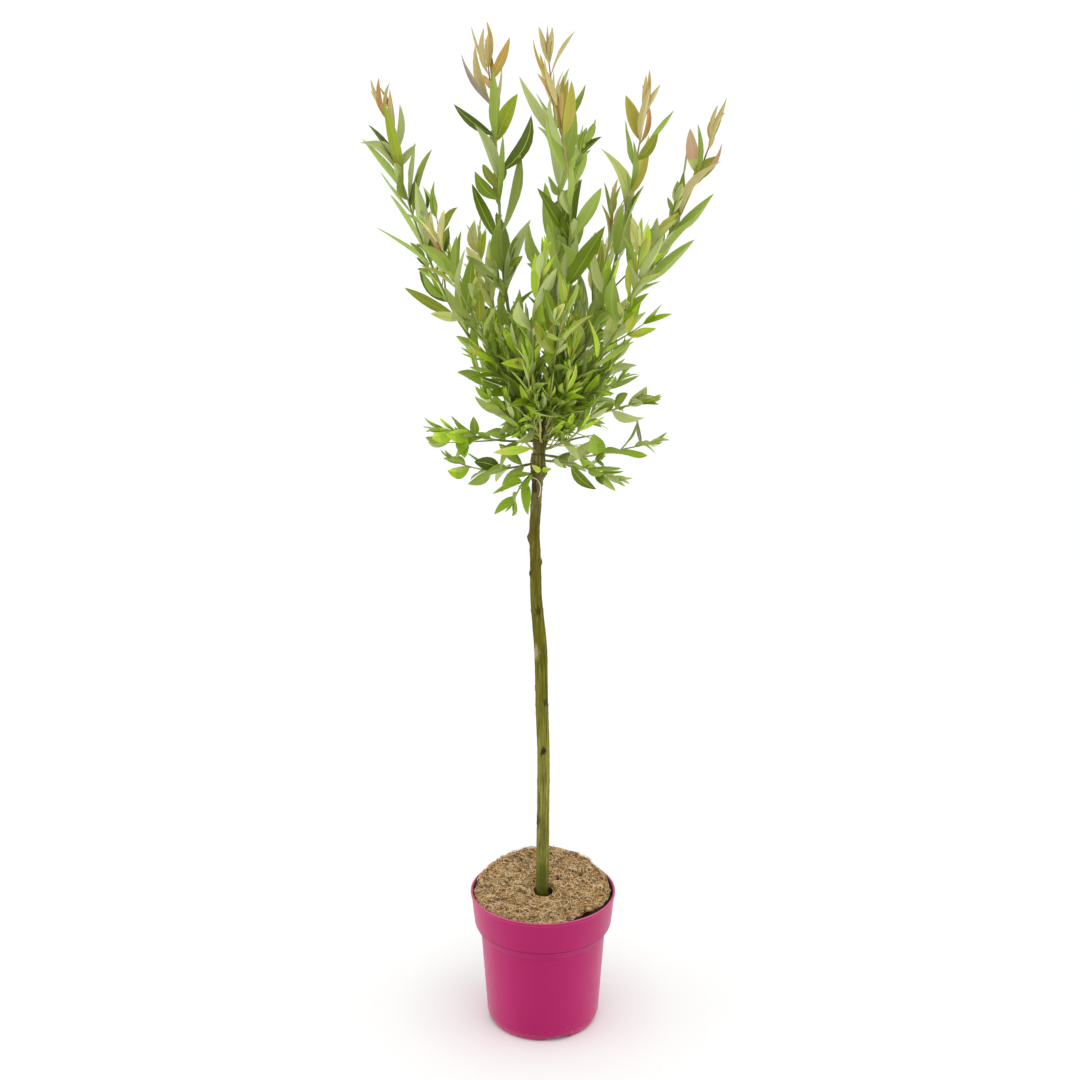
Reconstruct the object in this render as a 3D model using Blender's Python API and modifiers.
# Potted dappled willow, grafted as a small standard on a single stem.
# Metres, +Z up, +Y away from the viewer. The origin is the centre of the pot's underside.

import math
import random

import bpy
import bmesh
from mathutils import Matrix, Vector
from mathutils.bvhtree import BVHTree

# Shared sizes
GAP = 0.0003
MM = 0.001
UP = Vector((0.0, 0.0, 1.0))

# Pot, from the rim down
POT_HEIGHT = 0.1840
POT_RIM_R = 0.0950
POT_WALL = 0.0020
POT_LIP_DROP = 0.0020
POT_COLLAR_R = 0.0896
POT_COLLAR_FOOT_Z = 0.1400
POT_SHOULDER_R = 0.0815
POT_SHOULDER_Z = 0.1245
POT_HEEL_R = 0.0738
POT_HEEL_Z = 0.0100
POT_FOOT_R = 0.0690
POT_RING_INNER_R = 0.0600
POT_PAD_R = 0.0180
POT_FLOOR_Z = 0.0080
POT_STEPS = 36

# Drainage notches through the pot's foot ring, the first one right of the front
NOTCH_WIDTH = 0.0310
NOTCH_HEIGHT = 0.0062
NOTCH_COUNT = 4
NOTCH_FIRST_TURN = math.radians(-73.5)

# Soil and coir mat share one slope, higher at the back; the mat's front and back edges lift
SOIL_TOP_Z = 0.1734
GROUND_TILT = math.radians(6.7)
CUTTER_SPAN = 0.40
MAT_R = 0.0885
MAT_THICKNESS = 0.0098
MAT_DOME = 0.0010
MAT_CURL = 0.0076
MAT_BEVEL = 0.0045
MAT_HOLE_R = 0.0144
MAT_STEPS = 36
MAT_EDGE_WOBBLE = 0.0012
MAT_WAVES = {3: 0.9, 5: 0.6, 8: 0.55, 13: 0.4}
MAT_SEED = 11

# Trunk: height, sideways lean and radius, from the ground to the fork
TRUNK_SIDES = 12
TRUNK_STATIONS = (
    (0.1748, -0.0016, 0.0086),
    (0.2100, -0.0009, 0.0083),
    (0.2680, 0.0001, 0.0081),
    (0.3250, 0.0006, 0.0079),
    (0.3810, 0.0001, 0.0080),
    (0.4490, -0.0016, 0.0080),
    (0.5170, -0.0030, 0.0081),
    (0.5830, -0.0085, 0.0074),
    (0.6350, -0.0095, 0.0068),
    (0.6740, -0.0107, 0.0066),
    (0.7000, -0.0090, 0.0065),
    (0.7390, -0.0069, 0.0068),
    (0.7560, -0.0064, 0.0088),
    (0.7700, -0.0060, 0.0082),
)

# The fork's two arms, and the stretch of stem under it that low shoots grow from:
# foot, top, radius at the foot, radius at the top
ARM_SIDES = 8
ARM_PIECES = 3
ARMS = {
    "left": (Vector((-0.0066, 0.0, 0.7580)), Vector((-0.0120, -0.0010, 0.8420)), 0.0058, 0.0046),
    "right": (Vector((-0.0048, 0.0010, 0.7580)), Vector((0.0085, 0.0020, 0.8480)), 0.0054, 0.0042),
    "stem": (Vector((-0.0069, 0.0, 0.7390)), Vector((-0.0060, 0.0, 0.7700)), 0.0070, 0.0085),
}

# Knobs left by cut side shoots: height, turn about the stem, radius
KNOB_REACH = 0.62
KNOBS = (
    (0.6640, math.radians(180.0), 0.0060),
    (0.6320, math.radians(10.0), 0.0046),
    (0.6180, math.radians(200.0), 0.0042),
    (0.4660, math.radians(185.0), 0.0038),
    (0.7480, math.radians(-20.0), 0.0074),
)

# Shoots: arm, share of the arm's height, stem end in m, bow in mm, bare share, foot radius in mm,
# leaf length in mm, leaf spacing in mm, side twigs
SHOOTS = {
    "far_left": ("left", 0.84, (-0.184, 0.050, 1.163), (-68, 8, -38), 0.30, 2.6, 72, 33, 1),
    "tall_left": ("left", 1.00, (-0.065, 0.080, 1.222), (-24, 8, -6), 0.27, 2.7, 74, 35, 0),
    "tall_back": ("right", 1.00, (0.007, 0.140, 1.225), (-2, 16, -10), 0.27, 2.6, 72, 35, 0),
    "tall_front": ("right", 1.00, (0.014, -0.120, 1.186), (14, -14, -8), 0.27, 2.6, 70, 34, 0),
    "tall_right": ("right", 0.92, (0.111, -0.070, 1.171), (48, -10, -12), 0.28, 2.6, 70, 34, 1),
    "far_right": ("right", 0.74, (0.199, 0.060, 1.137), (43, 5, -34), 0.27, 2.7, 72, 33, 1),
    "far_back": ("right", 0.88, (0.020, 0.165, 1.080), (4, 34, -20), 0.28, 2.4, 67, 34, 0),
    "front_left": ("left", 0.74, (-0.120, -0.090, 1.037), (-6, -8, -10), 0.30, 2.2, 60, 30, 1),
    "back_left": ("left", 0.90, (-0.079, 0.090, 1.007), (-4, 10, -8), 0.30, 2.1, 55, 31, 0),
    "side_back_left": ("left", 0.70, (-0.110, 0.125, 0.985), (-14, 18, -14), 0.30, 2.2, 58, 31, 0),
    "orange_right": ("right", 0.86, (0.084, 0.070, 1.052), (34, 10, 4), 0.30, 2.2, 55, 30, 1),
    "side_back_right": ("right", 0.68, (0.075, 0.130, 0.985), (14, 20, -14), 0.30, 2.2, 58, 31, 0),
    "cream_right": ("right", 0.70, (0.107, -0.100, 1.032), (34, -10, -12), 0.30, 2.2, 58, 30, 1),
    "mid_right": ("right", 0.56, (0.086, 0.030, 0.879), (10, 2, -10), 0.0, 1.9, 53, 28, 0),
    "front_top": ("left", 1.00, (-0.001, -0.130, 1.011), (-4, -10, -20), 0.30, 2.2, 60, 31, 1),
    "front_mid": ("right", 0.76, (0.025, -0.120, 0.975), (5, -14, -16), 0.30, 2.0, 55, 30, 0),
    "front_low": ("left", 0.62, (-0.019, -0.090, 0.892), (0, -12, -20), 0.0, 1.8, 53, 26, 0),
    "back_low": ("left", 0.62, (-0.018, 0.110, 0.900), (0, 14, -16), 0.0, 1.8, 53, 30, 0),
    "left_mid": ("left", 0.50, (-0.062, -0.070, 0.853), (-10, -6, -8), 0.0, 1.7, 46, 25, 0),
    "left_back_mid": ("left", 0.46, (-0.086, 0.075, 0.868), (-10, 8, -8), 0.0, 1.7, 48, 28, 1),
    "left_low": ("left", 0.34, (-0.120, -0.020, 0.806), (0, 0, -6), 0.0, 1.6, 43, 25, 1),
    "right_back_mid": ("right", 0.46, (0.093, 0.075, 0.843), (8, 6, -6), 0.0, 1.7, 46, 28, 1),
    "right_mid": ("right", 0.40, (0.117, -0.030, 0.840), (4, 0, 8), 0.0, 1.7, 43, 25, 1),
    "right_low": ("stem", 0.95, (0.132, 0.040, 0.773), (0, 0, -8), 0.0, 1.5, 41, 28, 0),
    "right_lowest": ("stem", 0.74, (0.082, -0.035, 0.749), (6, 0, 8), 0.0, 1.4, 38, 24, 0),
    "left_lowest": ("stem", 0.60, (-0.104, 0.030, 0.751), (-2, 3, -12), 0.0, 1.5, 41, 25, 0),
    "hanging": ("stem", 0.30, (-0.035, -0.045, 0.724), (-8, -4, 6), 0.0, 1.3, 38, 21, 0),
    "back_lowest": ("stem", 0.80, (0.020, 0.105, 0.790), (0, 6, -6), 0.0, 1.5, 43, 28, 0),
}

# Short inner sprays fill the heart of the crown: arm, turn about it in degrees, share of its
# height, reach and rise in mm
INNER_SPRAYS = {
    "inner_left": ("left", 205, 0.90, 62, 98),
    "inner_front_left": ("left", 250, 0.86, 62, 98),
    "inner_back_left": ("left", 105, 0.80, 62, 98),
    "inner_front": ("right", -60, 0.60, 62, 98),
    "inner_right": ("right", 10, 0.94, 62, 98),
    "inner_back_right": ("right", 60, 0.94, 62, 98),
    "heart_front": ("right", -95, 0.30, 70, 60),
    "heart_right": ("right", -35, 0.20, 72, 52),
    "heart_left": ("left", 238, 0.20, 62, 62),
    "heart_back": ("left", 95, 0.30, 66, 62),
}
INNER_BOW_OUT = 10
INNER_BOW_DOWN = 14
INNER_FOOT_R = 1.5
INNER_LEAF = 46
INNER_SPACING = 22

# Single leaves that stand out of the crown's outline: shoot, share of its length, leaf tip in m
MARKED_LEAVES = (
    ("far_left", 0.83, (-0.218, 0.044, 1.141)),
    ("far_left", 0.85, (-0.149, 0.045, 1.136)),
    ("tall_left", 0.88, (-0.099, 0.072, 1.241)),
    ("tall_left", 0.79, (-0.108, 0.065, 1.182)),
    ("tall_left", 0.77, (-0.029, 0.064, 1.193)),
    ("tall_front", 0.88, (-0.029, -0.110, 1.218)),
    ("tall_back", 0.80, (0.053, 0.118, 1.203)),
    ("tall_right", 0.92, (0.090, -0.065, 1.195)),
    ("far_right", 0.89, (0.173, 0.055, 1.153)),
    ("far_right", 0.85, (0.210, 0.053, 1.121)),
)

# Stems: sides, length of one straight piece, and how the radius runs from foot to end
BOUGH_SIDES = 6
BOUGH_PIECE = 0.045
TWIG_SIDES = 3
TWIG_PIECE = 0.030
STEM_END_R = 0.00075
STEM_TAPER = 0.85
LENGTH_STEPS = 24
LEAST_PAIRS = 3

# Seating a foot: rounds, and the points measured over its flat end
SEAT_ROUNDS = 7
FOOT_REACH = 1.1
FOOT_STEPS = 6
LEAST_CROSS = 0.2

# Opposite leaves in crossed pairs along a shoot
LEAF_PHASE = 0.45
LEAF_SLIP = 0.24
LEAF_TURN_JITTER = 0.35
LEAF_OPEN_FOOT = 40.0
LEAF_OPEN_DROP = 20.0
LEVEL_OPEN = 22.0
LEAF_OPEN_JITTER = 9.0
LEAF_PEAK = 0.4
LEAF_HOLLOW = 0.9
LEAF_DWINDLE = 0.12
LEAF_SIZE_JITTER = 0.20
LEAF_RISE = 0.16
LEAF_ROLL = 1.40

# Leaf shape: short leaves are the broader ones for their length
LEAF_SHORT = 0.024
LEAF_LONG = 0.060
LEAF_WIDTH_SHARE_SHORT = 0.42
LEAF_WIDTH_SHARE_LONG = 0.26
LEAF_THICK_SHARE = 0.016
LEAF_BELLY = 0.44
LEAF_BEND_SHARE = 0.07
LEAF_SINK_SHARE = 0.25
CLEARANCE = 0.0005

# Young leaves held close round each stem's end
TUFT_OPEN = (6.0, 13.0, 18.0, 25.0)
TUFT_OPEN_JITTER = 4.0
TUFT_STEP = math.radians(137.5)
TUFT_BACKSET = 0.0022
TUFT_FIRST_SHARE = 0.86
TUFT_SHARE_STEP = 0.07
TUFT_SHARE = 0.85

# Side twigs in the axils of low leaves
SIDE_TWIG_FOOT_R = 0.0011
SIDE_TWIG_END_SHARE = 0.5
SIDE_TWIG_PIECES = 3
SIDE_TWIG_ALONG = 0.72
SIDE_TWIG_OUT = 0.62
SIDE_TWIG_UP = 0.25
SIDE_TWIG_LIFT = 0.18
SIDE_TWIG_REACH = (0.9, 1.3)
SIDE_TWIG_OPEN = (30.0, 50.0)
SIDE_TWIG_LEAF = (0.62, 0.82)
SIDE_TWIG_SPACING = 0.030
SIDE_TWIG_TUFT_SHARE = 0.78
SIDE_TWIG_TUFT_COUNT = 2

# The chance part of every shoot follows from this and the shoot's name
PLANT_SEED = 153

# The room the crown may fill
CROWN_LOW = Vector((-0.2185, -0.190, 0.640))
CROWN_HIGH = Vector((0.2120, 0.205, 1.2630))

# Colours and roughness
POT_LOOK = ((0.62, 0.03, 0.16), 0.42)
SOIL_LOOK = ((0.05, 0.035, 0.025), 0.95)
MAT_LOOK = ((0.42, 0.27, 0.11), 0.95)
TRUNK_LOOK = ((0.16, 0.17, 0.06), 0.80)
BOUGH_LOOK = ((0.20, 0.22, 0.08), 0.75)
LEAF_LOOKS = (
    ((0.16, 0.30, 0.05), 0.60),
    ((0.22, 0.36, 0.06), 0.60),
    ((0.13, 0.24, 0.06), 0.60),
)


def clear_scene():
    for item in list(bpy.data.objects):
        bpy.data.objects.remove(item, do_unlink=True)


def new_collection(name):
    group = bpy.data.collections.new(name)
    bpy.context.scene.collection.children.link(group)
    return group


def move_to(item, group):
    for holder in list(item.users_collection):
        holder.objects.unlink(item)
    group.objects.link(item)


def new_object(name, verts, faces):
    mesh = bpy.data.meshes.new(name)
    mesh.from_pydata([tuple(vert) for vert in verts], [], faces)
    item = bpy.data.objects.new(name, mesh)
    bpy.context.scene.collection.objects.link(item)
    return item


def shape_of(item):
    """The corners and faces of an object's own mesh."""
    verts = [vert.co.copy() for vert in item.data.vertices]
    faces = [tuple(face.vertices) for face in item.data.polygons]
    return verts, faces


def evaluated_mesh(item):
    depsgraph = bpy.context.evaluated_depsgraph_get()
    return bpy.data.meshes.new_from_object(item.evaluated_get(depsgraph))


def apply_modifiers(item):
    mesh = evaluated_mesh(item)
    item.modifiers.clear()
    item.data = mesh
    mesh.name = item.name


def face_outward(item):
    bm = bmesh.new()
    bm.from_mesh(item.data)
    bmesh.ops.recalc_face_normals(bm, faces=bm.faces)
    if bm.calc_volume(signed=True) < 0.0:
        bmesh.ops.reverse_faces(bm, faces=bm.faces)
    bm.to_mesh(item.data)
    bm.free()


def is_closed(item):
    """Every edge has exactly two faces."""
    bm = bmesh.new()
    bm.from_mesh(item.data)
    closed = all(len(edge.link_faces) == 2 for edge in bm.edges)
    bm.free()
    return closed


def fuse(item, others, operation="UNION"):
    """One Boolean on a collection, applied, with the collection's objects then removed."""
    if not others:
        return
    operands = new_collection("operands")
    for other in others:
        move_to(other, operands)
        other.hide_render = True
        other.display_type = "WIRE"
    plain = item.data
    for solver in ("EXACT", "MANIFOLD"):
        item.data = plain.copy()
        boolean = item.modifiers.new("fuse", "BOOLEAN")
        boolean.operation = operation
        boolean.operand_type = "COLLECTION"
        boolean.collection = operands
        boolean.solver = solver
        apply_modifiers(item)
        if is_closed(item):
            break
    for other in others:
        bpy.data.objects.remove(other, do_unlink=True)
    bpy.data.collections.remove(operands)


def keep_largest_body(item):
    """A sealed hollow is filled and a loose scrap dropped: only the largest shell stays."""
    bm = bmesh.new()
    bm.from_mesh(item.data)
    bmesh.ops.triangulate(bm, faces=bm.faces)
    seen = set()
    shells = []
    for start in bm.verts:
        if start in seen:
            continue
        seen.add(start)
        waiting = [start]
        shell = []
        while waiting:
            vert = waiting.pop()
            shell.append(vert)
            for edge in vert.link_edges:
                other = edge.other_vert(vert)
                if other not in seen:
                    seen.add(other)
                    waiting.append(other)
        shells.append(shell)
    shells.sort(key=len, reverse=True)
    extra = [vert for shell in shells[1:] for vert in shell]
    if extra:
        bmesh.ops.delete(bm, geom=extra, context="VERTS")
    bm.to_mesh(item.data)
    bm.free()


def finish(item, look, parts):
    """Give a sub-part its own Principled material and its place in the plant's collection."""
    colour, roughness = look
    material = bpy.data.materials.new(item.name)
    material.use_nodes = True
    shader = material.node_tree.nodes["Principled BSDF"]
    shader.inputs["Base Color"].default_value = (*colour, 1.0)
    shader.inputs["Roughness"].default_value = roughness
    item.data.materials.clear()
    item.data.materials.append(material)
    move_to(item, parts)


def screw_solid(name, profile, steps):
    """Turn a profile, drawn in X and Z from the inside over the top and down, about Z."""
    last = len(profile) - 1
    edges = [(i, i + 1) for i in range(last)]
    if profile[0][0] > 0.0:
        edges.append((last, 0))
    mesh = bpy.data.meshes.new(name)
    mesh.from_pydata([(r, 0.0, z) for r, z in profile], edges, [])
    item = bpy.data.objects.new(name, mesh)
    bpy.context.scene.collection.objects.link(item)
    screw = item.modifiers.new("turn", "SCREW")
    screw.axis = "Z"
    screw.steps = steps
    screw.render_steps = steps
    screw.use_merge_vertices = True
    screw.merge_threshold = 0.0001
    apply_modifiers(item)
    face_outward(item)
    return item


def block(name, size, place):
    """A box with its centre at a place, in the object's own frame."""
    bpy.ops.mesh.primitive_cube_add(size=1.0)
    item = bpy.context.active_object
    item.name = name
    item.data.transform(Matrix.Translation(place) @ Matrix.Diagonal((*size, 1.0)))
    return item


# Pot

def make_pot(parts):
    floor_top = POT_FLOOR_Z + POT_WALL
    profile = (
        (0.0, floor_top),
        (POT_HEEL_R - 2.0 * POT_WALL, floor_top),
        (POT_HEEL_R - 0.8 * POT_WALL, floor_top + POT_WALL),
        (POT_SHOULDER_R - POT_WALL, POT_SHOULDER_Z),
        (POT_COLLAR_R - POT_WALL, POT_COLLAR_FOOT_Z),
        (POT_RIM_R - 1.2 * POT_WALL, POT_HEIGHT),
        (POT_RIM_R - 0.1 * POT_WALL, POT_HEIGHT),
        (POT_RIM_R, POT_HEIGHT - POT_LIP_DROP),
        (POT_COLLAR_R, POT_COLLAR_FOOT_Z),
        (POT_SHOULDER_R, POT_SHOULDER_Z),
        (POT_HEEL_R, POT_HEEL_Z),
        (POT_FOOT_R, 0.0),
        (POT_RING_INNER_R, 0.0),
        (POT_RING_INNER_R, POT_FLOOR_Z),
        (POT_PAD_R, POT_FLOOR_Z),
        (POT_PAD_R, 0.0),
        (0.0, 0.0),
    )
    pot = screw_solid("pot", profile, POT_STEPS)
    depth = POT_HEEL_R - POT_RING_INNER_R + 2.0 * POT_WALL
    size = (depth, NOTCH_WIDTH, NOTCH_HEIGHT + 2.0 * POT_WALL)
    place = Vector((POT_HEEL_R, 0.0, NOTCH_HEIGHT / 2.0 - POT_WALL))
    notches = []
    for i in range(NOTCH_COUNT):
        notch = block("notch", size, place)
        notch.rotation_euler.z = NOTCH_FIRST_TURN + i * math.tau / NOTCH_COUNT
        notches.append(notch)
    fuse(pot, notches, operation="DIFFERENCE")
    keep_largest_body(pot)
    finish(pot, POT_LOOK, parts)


# Soil and coir mat

def above_ground():
    """The space above the sloping ground."""
    size = (CUTTER_SPAN, CUTTER_SPAN, CUTTER_SPAN)
    cutter = block("above_ground", size, Vector((0.0, 0.0, CUTTER_SPAN / 2.0)))
    cutter.location.z = SOIL_TOP_Z
    cutter.rotation_euler.x = GROUND_TILT
    return cutter


def make_soil(parts):
    base = POT_FLOOR_Z + POT_WALL + GAP
    inner = POT_WALL + GAP
    profile = (
        (0.0, POT_HEIGHT - GAP),
        (POT_RIM_R - 1.3 * inner, POT_HEIGHT - GAP),
        (POT_COLLAR_R - inner, POT_COLLAR_FOOT_Z),
        (POT_SHOULDER_R - inner, POT_SHOULDER_Z),
        (POT_HEEL_R - inner, base + 2.0 * POT_WALL),
        (POT_HEEL_R - 2.2 * inner, base),
        (0.0, base),
    )
    soil = screw_solid("soil", profile, POT_STEPS)
    fuse(soil, [above_ground()], operation="DIFFERENCE")
    keep_largest_body(soil)
    finish(soil, SOIL_LOOK, parts)


def make_mat(parts):
    """A cut disc of coir with a hole for the stem and an uneven edge."""
    rng = random.Random(MAT_SEED)
    starts = {count: rng.uniform(0.0, math.tau) for count in MAT_WAVES}
    profile = (
        (MAT_HOLE_R, MAT_THICKNESS - MAT_BEVEL),
        (MAT_HOLE_R + MAT_BEVEL, MAT_THICKNESS),
        (MAT_R * 0.60, MAT_THICKNESS + MAT_DOME),
        (MAT_R - MAT_BEVEL, MAT_THICKNESS),
        (MAT_R, MAT_THICKNESS - MAT_BEVEL),
        (MAT_R - 0.5 * MAT_BEVEL, 0.0),
        (MAT_HOLE_R, 0.0),
    )
    mat = screw_solid("mat", profile, MAT_STEPS)
    for vert in mat.data.vertices:
        radius = math.hypot(vert.co.x, vert.co.y)
        turn = math.atan2(vert.co.y, vert.co.x)
        wave = sum(size * math.sin(count * turn + starts[count]) for count, size in MAT_WAVES.items())
        share = (radius - MAT_HOLE_R) / (MAT_R - MAT_HOLE_R)
        push = 1.0 + MAT_EDGE_WOBBLE * wave * share / radius
        vert.co.x *= push
        vert.co.y *= push
        vert.co.z += MAT_CURL * (vert.co.y / MAT_R) ** 2
    keep_largest_body(mat)
    mat.location.z = SOIL_TOP_Z + GAP
    mat.rotation_euler.x = GROUND_TILT
    finish(mat, MAT_LOOK, parts)


# Limbs

def limb(name, points, radii, sides):
    """A tapering stem: a many-sided outline carried along a curve, with its end caps welded."""
    outline = bpy.data.curves.new("outline", "CURVE")
    outline.dimensions = "2D"
    ring = outline.splines.new("POLY")
    ring.points.add(sides - 1)
    ring.use_cyclic_u = True
    for i, knot in enumerate(ring.points):
        turn = math.tau * i / sides
        knot.co = (math.cos(turn), math.sin(turn), 0.0, 1.0)
    outline_item = bpy.data.objects.new("outline", outline)
    guide = bpy.data.curves.new(name, "CURVE")
    guide.dimensions = "3D"
    guide.bevel_mode = "OBJECT"
    guide.bevel_object = outline_item
    guide.use_fill_caps = True
    line = guide.splines.new("POLY")
    line.points.add(len(points) - 1)
    for knot, point, radius in zip(line.points, points, radii):
        knot.co = (*point, 1.0)
        knot.radius = radius
    guide_item = bpy.data.objects.new(name, guide)
    for item in (outline_item, guide_item):
        bpy.context.scene.collection.objects.link(item)
    mesh = evaluated_mesh(guide_item)
    for item in (guide_item, outline_item):
        bpy.data.objects.remove(item, do_unlink=True)
    bm = bmesh.new()
    bm.from_mesh(mesh)
    bmesh.ops.remove_doubles(bm, verts=bm.verts, dist=0.00001)
    bm.to_mesh(mesh)
    bm.free()
    solid = bpy.data.objects.new(name, mesh)
    bpy.context.scene.collection.objects.link(solid)
    face_outward(solid)
    return solid


def trunk_at(height):
    """Sideways place and radius of the trunk at a height."""
    for (z0, x0, r0), (z1, x1, r1) in zip(TRUNK_STATIONS, TRUNK_STATIONS[1:]):
        if height <= z1:
            share = (height - z0) / (z1 - z0)
            return x0 + (x1 - x0) * share, r0 + (r1 - r0) * share
    return TRUNK_STATIONS[-1][1], TRUNK_STATIONS[-1][2]


def knob(height, turn, radius):
    x, trunk_r = trunk_at(height)
    reach = trunk_r * KNOB_REACH
    place = Vector((x + reach * math.cos(turn), reach * math.sin(turn), height))
    bm = bmesh.new()
    bmesh.ops.create_icosphere(bm, subdivisions=1, radius=radius, matrix=Matrix.Translation(place))
    mesh = bpy.data.meshes.new("knob")
    bm.to_mesh(mesh)
    bm.free()
    item = bpy.data.objects.new("knob", mesh)
    bpy.context.scene.collection.objects.link(item)
    return item


def make_trunk(parts):
    """The stem up to the graft, its knobs and the two arms of the fork, as one solid."""
    points = [Vector((x, 0.0, z)) for z, x, r in TRUNK_STATIONS]
    radii = [r for z, x, r in TRUNK_STATIONS]
    trunk = limb("trunk", points, radii, TRUNK_SIDES)
    extras = []
    for name in ("left", "right"):
        low, high, low_r, high_r = ARMS[name]
        shares = [i / ARM_PIECES for i in range(ARM_PIECES + 1)]
        arm_points = [low.lerp(high, share) for share in shares]
        arm_radii = [low_r + (high_r - low_r) * share for share in shares]
        extras.append(limb("arm", arm_points, arm_radii, ARM_SIDES))
    for height, turn, radius in KNOBS:
        extras.append(knob(height, turn, radius))
    fuse(trunk, extras)
    keep_largest_body(trunk)
    finish(trunk, TRUNK_LOOK, parts)
    return trunk


class Shoot:
    """One shoot: a curved stem from its foot on an arm to its end, and how it is leafed."""

    def __init__(self, name, row):
        arm, share, end, bow, bare, foot_r, leaf, spacing, twigs = row
        low, high, low_r, high_r = ARMS[arm]
        axis = (high - low).normalized()
        place = low.lerp(high, share)
        arm_r = low_r + (high_r - low_r) * share
        self.name = name
        self.end = Vector(end)
        self.pull = (place + self.end) / 2.0 + Vector(bow) * MM
        self.foot_r = foot_r * MM
        aim = self.pull - place
        outward = (aim - axis * aim.dot(axis)).normalized()
        if share >= 1.0:
            self.foot = place + (outward + axis) * (self.foot_r + GAP)
            self.inward = -axis
        else:
            self.foot = place + outward * (arm_r + self.foot_r + GAP)
            self.inward = -outward
        self.bare = bare
        self.pairs = max(LEAST_PAIRS, round(self.length(bare, 1.0) / (spacing * MM)))
        self.leaf = leaf * MM
        self.twigs = twigs

    def point(self, t):
        return self.foot.lerp(self.pull, t).lerp(self.pull.lerp(self.end, t), t)

    def heading(self, t):
        return (self.pull - self.foot).lerp(self.end - self.pull, t).normalized()

    def radius(self, t):
        return self.foot_r + (STEM_END_R - self.foot_r) * t ** STEM_TAPER

    def length(self, t0, t1):
        marks = [self.point(t0 + (t1 - t0) * i / LENGTH_STEPS) for i in range(LENGTH_STEPS + 1)]
        return sum((b - a).length for a, b in zip(marks, marks[1:]))

    def stretch(self, name, t0, t1, piece, sides):
        """The solid stem between two shares of the shoot."""
        count = max(3, round(self.length(t0, t1) / piece))
        shares = [t0 + (t1 - t0) * i / count for i in range(count + 1)]
        points = [self.point(t) for t in shares]
        radii = [self.radius(t) for t in shares]
        return limb(name, points, radii, sides)

    def lowest(self):
        """What stands on the trunk: the bough, or the whole stem of a shoot without one."""
        if self.bare > 0.0:
            stop = self.bare - GAP / self.length(0.0, 1.0)
            return self.stretch(self.name + "_bough", 0.0, stop, BOUGH_PIECE, BOUGH_SIDES)
        return self.stretch(self.name + "_foliage", 0.0, 1.0, TWIG_PIECE, TWIG_SIDES)

    def seat(self, trunk_tree):
        """Slide the foot in until it stands 0.3 mm clear of the trunk."""
        for i in range(SEAT_ROUNDS):
            stem = self.lowest()
            corners = [vert.co.copy() for vert in stem.data.vertices]
            bpy.data.objects.remove(stem, do_unlink=True)
            rim = [co for co in corners if (co - self.foot).length < self.foot_r * FOOT_REACH]
            spots = [a.lerp(b, j / FOOT_STEPS) for a in rim for b in rim for j in range(FOOT_STEPS)]
            room = min(trunk_tree.find_nearest(spot)[3] for spot in spots)
            self.foot = self.foot + self.inward * (room - GAP)


def inner_rows():
    """Rows for the short sprays inside the crown, set round the two arms."""
    rows = {}
    for name, (arm, turn, share, reach, rise) in INNER_SPRAYS.items():
        low, high, low_r, high_r = ARMS[arm]
        out = Matrix.Rotation(math.radians(turn), 3, "Z") @ Vector((1.0, 0.0, 0.0))
        end = low.lerp(high, share) + (out * reach + UP * rise) * MM
        bow = tuple(out * INNER_BOW_OUT - UP * INNER_BOW_DOWN)
        rows[name] = (arm, share, end, bow, 0.0, INNER_FOOT_R, INNER_LEAF, INNER_SPACING, 0)
    return rows


# Leaves

def across(heading, turn):
    """A direction square to the stem, at a turn about it."""
    side = heading.cross(Vector((0.0, 1.0, 0.0)))
    if side.length < LEAST_CROSS:
        side = heading.cross(Vector((1.0, 0.0, 0.0)))
    side.normalize()
    return side * math.cos(turn) + heading.cross(side) * math.sin(turn)


def leaf_at(point, heading, turn, angle, length, stem_r, rng):
    """One leaf opened from its stem by an angle, with its upper face to the stem."""
    out = across(heading, turn)
    along = (heading * math.cos(angle) + out * math.sin(angle) + UP * LEAF_RISE).normalized()
    normal = (heading - along * heading.dot(along)).normalized()
    normal = Matrix.Rotation(rng.uniform(-LEAF_ROLL, LEAF_ROLL), 3, along) @ normal
    root = point - along * (stem_r * LEAF_SINK_SHARE)
    bend = rng.uniform(-1.2, 0.5) * LEAF_BEND_SHARE
    return (root, along, normal, length, bend)


def marked_leaf(shoot, share, tip):
    """A leaf from a share of the shoot to a given tip, its face to the front."""
    along = Vector(tip) - shoot.point(share)
    length = along.length
    along.normalize()
    front = Vector((0.0, -1.0, 0.0))
    normal = (front - along * front.dot(along)).normalized()
    root = shoot.point(share) - along * (shoot.radius(share) * LEAF_SINK_SHARE)
    return (root, along, normal, length, 0.0)


def width_share(length):
    share = (length - LEAF_SHORT) / (LEAF_LONG - LEAF_SHORT)
    share = min(max(share, 0.0), 1.0)
    return LEAF_WIDTH_SHARE_SHORT + (LEAF_WIDTH_SHARE_LONG - LEAF_WIDTH_SHARE_SHORT) * share


def unit_leaf():
    """A ball of eight faces: its poles become the leaf's root and tip, its girth the belly."""
    bm = bmesh.new()
    bmesh.ops.create_uvsphere(bm, u_segments=4, v_segments=2, radius=1.0)
    bmesh.ops.recalc_face_normals(bm, faces=bm.faces)
    verts = [vert.co.copy() for vert in bm.verts]
    faces = [tuple(vert.index for vert in face.verts) for face in bm.faces]
    bm.free()
    return verts, faces


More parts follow.
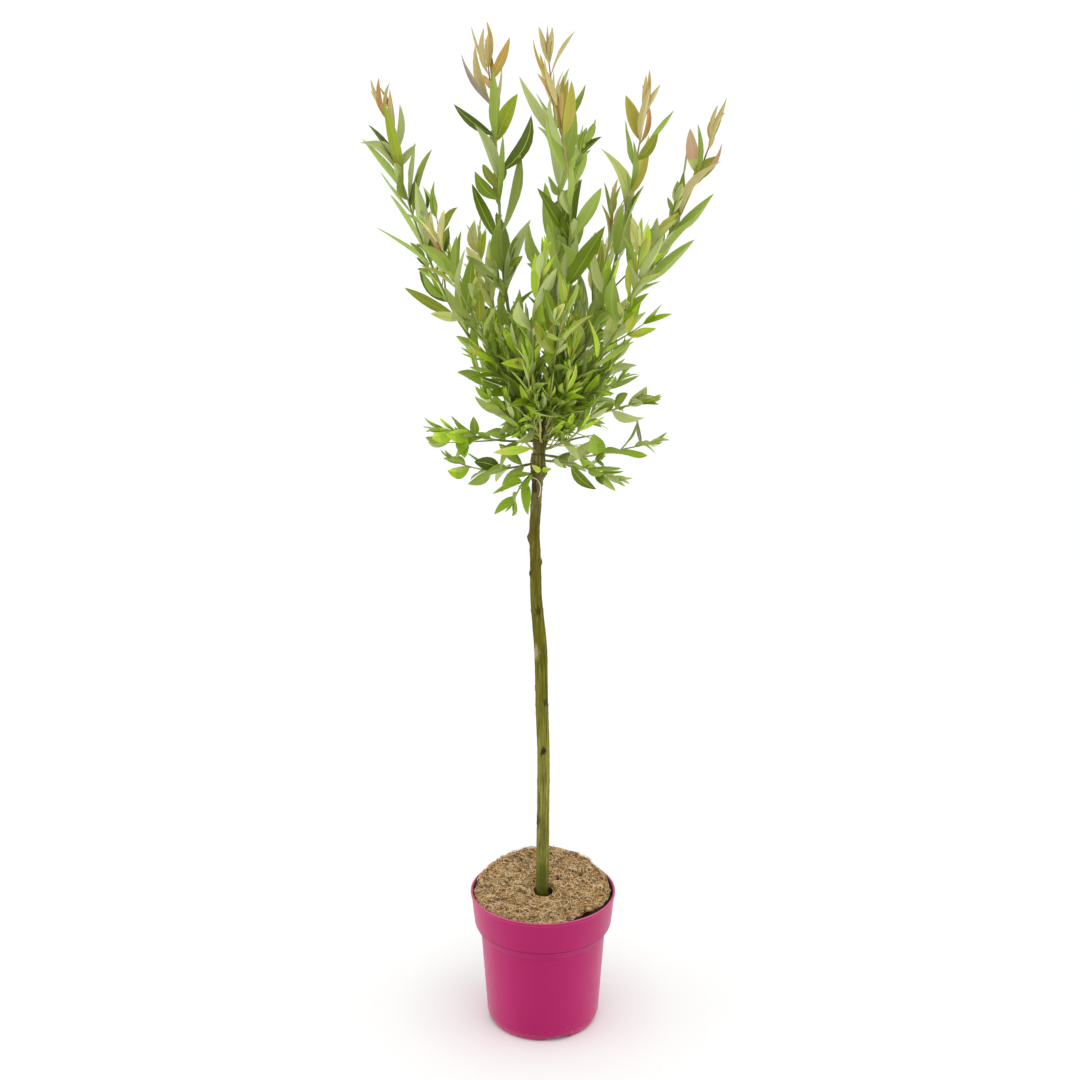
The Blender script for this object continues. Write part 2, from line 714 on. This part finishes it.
def leaf_solid(leaf, ball, swell=0.0):
    """Stretch the eight-faced ball into a leaf. swell adds room all round for clearance tests."""
    root, along, normal, length, bend = leaf
    side = normal.cross(along)
    half_width = length * width_share(length) / 2.0 + swell
    half_thick = length * LEAF_THICK_SHARE / 2.0 + swell
    belly = root + along * (length * LEAF_BELLY) + normal * (length * bend)
    ball_verts, faces = ball
    verts = []
    for vert in ball_verts:
        if vert.z > 0.5:
            verts.append(root + along * (length + swell))
        elif vert.z < -0.5:
            verts.append(root - along * swell)
        else:
            verts.append(belly + side * (vert.x * half_width) + normal * (vert.y * half_thick))
    return verts, faces


def tuft(point, heading, length, stem_r, count, rng):
    """Young leaves held close round a stem's end."""
    start = point - heading * TUFT_BACKSET
    first = rng.uniform(0.0, math.tau)
    leaves = []
    for i, opening in enumerate(TUFT_OPEN[:count]):
        angle = math.radians(opening + rng.uniform(-TUFT_OPEN_JITTER, TUFT_OPEN_JITTER))
        size = length * (TUFT_FIRST_SHARE - TUFT_SHARE_STEP * i) * rng.uniform(0.9, 1.1)
        leaves.append(leaf_at(start, heading, first + i * TUFT_STEP, angle, size, stem_r, rng))
    return leaves


def side_twig(point, heading, turn, length, leaf, rng):
    """A short side twig that lifts towards the shoot, with its own leaves."""
    out = across(heading, turn)
    aim = (heading * SIDE_TWIG_ALONG + out * SIDE_TWIG_OUT + UP * SIDE_TWIG_UP).normalized()
    run = aim * length
    lift = heading * (SIDE_TWIG_LIFT * length)
    shares = [i / SIDE_TWIG_PIECES for i in range(SIDE_TWIG_PIECES + 1)]
    points = [point + run * t + lift * t * t for t in shares]
    radii = [SIDE_TWIG_FOOT_R * (1.0 - (1.0 - SIDE_TWIG_END_SHARE) * t) for t in shares]
    leaves = []
    pairs = max(1, round(length / SIDE_TWIG_SPACING) - 1)
    first = rng.uniform(0.0, math.tau)
    for k in range(pairs):
        t = (k + 0.9) / (pairs + 0.6)
        spot = point + run * t + lift * t * t
        along = (run + lift * 2.0 * t).normalized()
        spot_r = SIDE_TWIG_FOOT_R * (1.0 - (1.0 - SIDE_TWIG_END_SHARE) * t)
        for half in (0, 1):
            bearing = first + k * math.pi / 2.0 + half * math.pi
            angle = math.radians(rng.uniform(*SIDE_TWIG_OPEN))
            size = leaf * rng.uniform(*SIDE_TWIG_LEAF)
            leaves.append(leaf_at(spot, along, bearing, angle, size, spot_r, rng))
    along = (points[-1] - points[-2]).normalized()
    size = leaf * SIDE_TWIG_TUFT_SHARE
    leaves.extend(tuft(points[-1], along, size, radii[-1], SIDE_TWIG_TUFT_COUNT, rng))
    return points, radii, leaves


def grow(shoot):
    """The seeded rule: crossed pairs of leaves, low side twigs, marked leaves and a tuft at the end."""
    rng = random.Random(f"{shoot.name} {PLANT_SEED}")
    count = shoot.pairs
    first = rng.uniform(0.0, math.tau)
    twigs = []
    leaves = []
    for k in range(count):
        u = (k + LEAF_PHASE) / count
        t = shoot.bare + (1.0 - shoot.bare) * u
        heading = shoot.heading(t)
        for half in (0, 1):
            bearing = first + k * math.pi / 2.0 + half * math.pi
            bearing += rng.uniform(-LEAF_TURN_JITTER, LEAF_TURN_JITTER)
            slipped = t + rng.uniform(-LEAF_SLIP, LEAF_SLIP) / count
            point = shoot.point(slipped)
            if half == 0 and k % 2 == 1 and k // 2 < shoot.twigs:
                reach = shoot.leaf * rng.uniform(*SIDE_TWIG_REACH)
                twigs.append(side_twig(point, heading, bearing, reach, shoot.leaf, rng))
                continue
            size = 1.0 - LEAF_HOLLOW * (u - LEAF_PEAK) ** 2 - LEAF_DWINDLE * u
            size *= shoot.leaf * rng.uniform(1.0 - LEAF_SIZE_JITTER, 1.0 + LEAF_SIZE_JITTER)
            opening = LEAF_OPEN_FOOT - LEAF_OPEN_DROP * u + LEVEL_OPEN * (1.0 - abs(heading.z))
            opening += rng.uniform(-LEAF_OPEN_JITTER, LEAF_OPEN_JITTER)
            angle = math.radians(opening)
            leaves.append(leaf_at(point, heading, bearing, angle, size, shoot.radius(slipped), rng))
    for name, share, tip in MARKED_LEAVES:
        if name == shoot.name:
            leaves.append(marked_leaf(shoot, share, tip))
    size = shoot.leaf * TUFT_SHARE
    leaves.extend(tuft(shoot.point(1.0), shoot.heading(1.0), size, STEM_END_R, len(TUFT_OPEN), rng))
    return twigs, leaves


# Room between the masses

class Room:
    """What has been placed so far, kept apart by node, for the skip rule."""

    def __init__(self):
        self.placed = {}

    def add(self, node, shape):
        self.placed.setdefault(node, []).append(shape)

    def outside(self, node):
        """A search tree of everything that isn't in this node."""
        verts = []
        faces = []
        for name, shapes in self.placed.items():
            if name == node:
                continue
            for shape_verts, shape_faces in shapes:
                base = len(verts)
                verts.extend(shape_verts)
                faces.extend([tuple(base + i for i in face) for face in shape_faces])
        return BVHTree.FromPolygons(verts, faces)


def has_room(tree, shape):
    """True where a swollen piece touches nothing of another node and stays in the crown."""
    verts, faces = shape
    for vert in verts:
        if any(value < low or value > high for low, high, value in zip(CROWN_LOW, CROWN_HIGH, vert)):
            return False
    return not tree.overlap(BVHTree.FromPolygons(verts, faces))


def swollen_limb(points, radii):
    """The corners and faces of a twig with clearance all round."""
    item = limb("room", points, [r + CLEARANCE for r in radii], TWIG_SIDES)
    shape = shape_of(item)
    bpy.data.objects.remove(item, do_unlink=True)
    return shape


def make_stem(shoot, room, parts):
    """The solid stem a mass grows on, and below it the bare bough where the shoot has one."""
    stem = shoot.lowest()
    room.add(stem.name, shape_of(stem))
    if shoot.bare > 0.0:
        finish(stem, BOUGH_LOOK, parts)
        stem = shoot.stretch(shoot.name + "_foliage", shoot.bare, 1.0, TWIG_PIECE, TWIG_SIDES)
        room.add(stem.name, shape_of(stem))
    return stem


def make_mass(shoot, stem, look, ball, room, parts):
    """Fuse onto the stem each side twig and leaf that has room."""
    tree = room.outside(stem.name)
    twigs, leaves = grow(shoot)
    extras = []
    for points, radii, own_leaves in twigs:
        if not has_room(tree, swollen_limb(points, radii)):
            continue
        twig = limb("twig", points, radii, TWIG_SIDES)
        room.add(stem.name, shape_of(twig))
        extras.append(twig)
        leaves.extend(own_leaves)
    for leaf in leaves:
        if not has_room(tree, leaf_solid(leaf, ball, CLEARANCE)):
            continue
        shape = leaf_solid(leaf, ball)
        room.add(stem.name, shape)
        extras.append(new_object("leaf", *shape))
    fuse(stem, extras)
    keep_largest_body(stem)
    finish(stem, look, parts)


def main():
    clear_scene()
    parts = new_collection("potted_willow")
    make_pot(parts)
    make_soil(parts)
    make_mat(parts)
    room = Room()
    room.add("trunk", shape_of(make_trunk(parts)))
    trunk_tree = room.outside("")
    rows = {**SHOOTS, **inner_rows()}
    shoots = [Shoot(name, row) for name, row in rows.items()]
    for shoot in shoots:
        shoot.seat(trunk_tree)
    stems = [make_stem(shoot, room, parts) for shoot in shoots]
    ball = unit_leaf()
    for i, (shoot, stem) in enumerate(zip(shoots, stems)):
        make_mass(shoot, stem, LEAF_LOOKS[i % len(LEAF_LOOKS)], ball, room, parts)


main()
